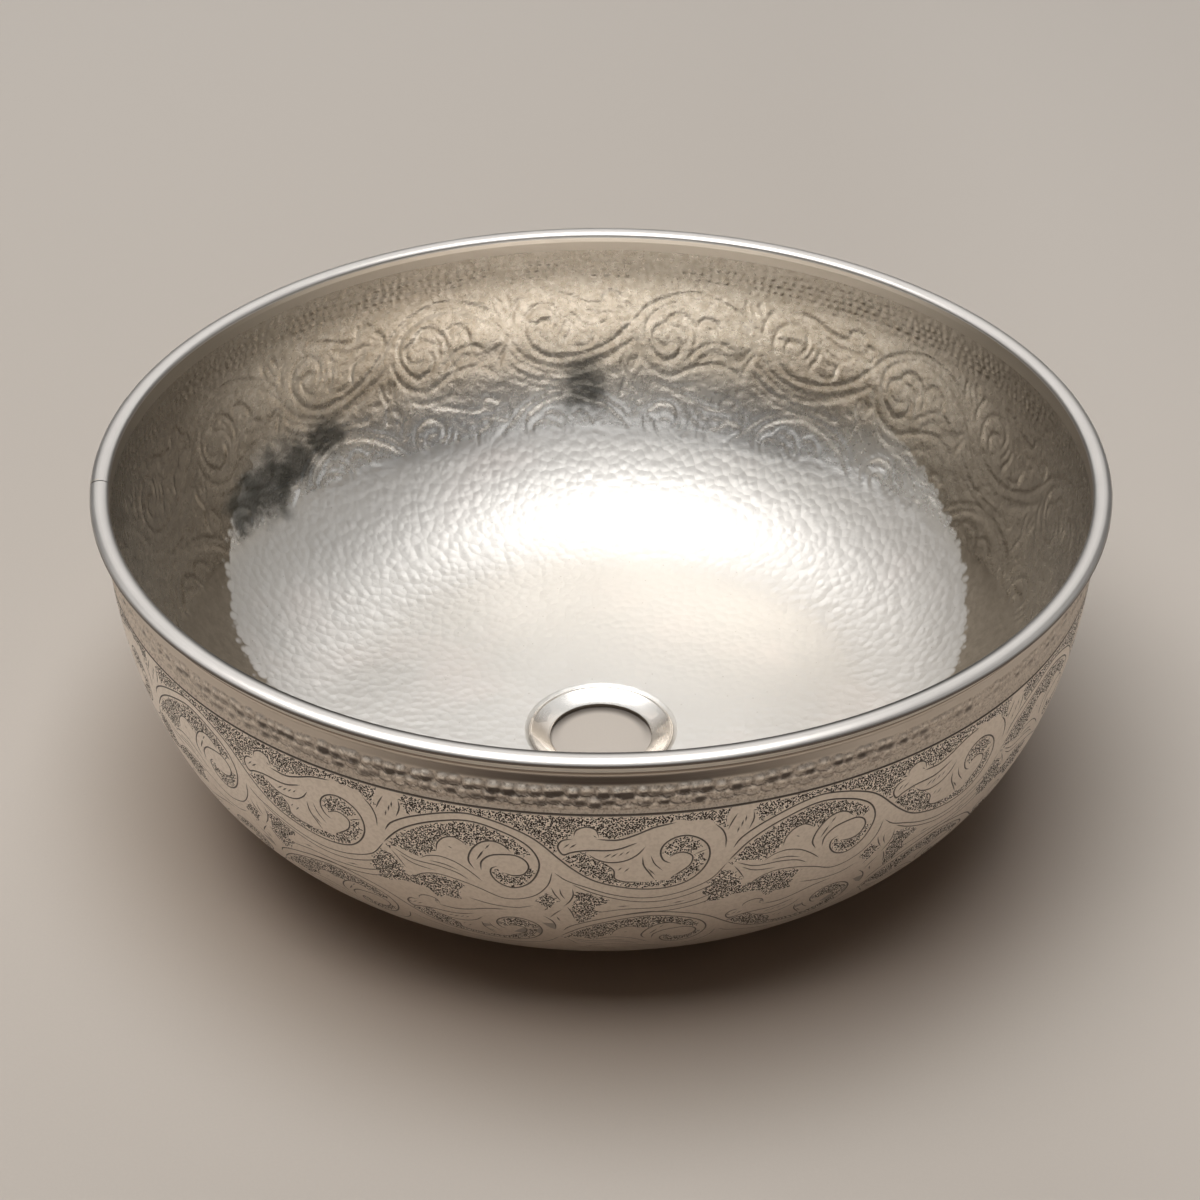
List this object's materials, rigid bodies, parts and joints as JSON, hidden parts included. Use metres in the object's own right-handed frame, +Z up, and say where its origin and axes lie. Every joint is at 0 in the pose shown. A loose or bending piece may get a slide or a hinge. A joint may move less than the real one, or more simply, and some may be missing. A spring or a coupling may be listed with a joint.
{
  "type": "vessel wash basin",
  "caption": "Round hand-hammered metal vessel basin with scroll-engraved outside, half-round soldered rim and an open drain ring in the floor.",
  "frame": {"origin": "centre of the foot's underside, on the drain's axis, at the surface the basin stands on", "axes": "+Z up along the drain's axis, the bowl's axis of symmetry; -Y is the side the picture shows nearest"},
  "size_m": [0.406, 0.406, 0.1487],
  "materials": {
    "hammered_shell": "nickel-plated brass, satin with dark patina in the engraving outside, hammered and burnished inside",
    "turned_strip": "nickel-plated brass, fine turned lines",
    "polished_trim": "nickel-plated brass, polished",
    "solder": "silver-tin solder, filed and wiped"
  },
  "bodies": {
    "root": {"basin_shell": "hammered_shell", "rim_channel": "turned_strip", "rim_bead": "polished_trim", "bead_butt_joint": "solder", "rim_solder_seam": "solder", "bead_solder_seam": "solder", "drain_ring": "polished_trim", "drain_solder_seam": "solder"}
  },
  "joints": []
}
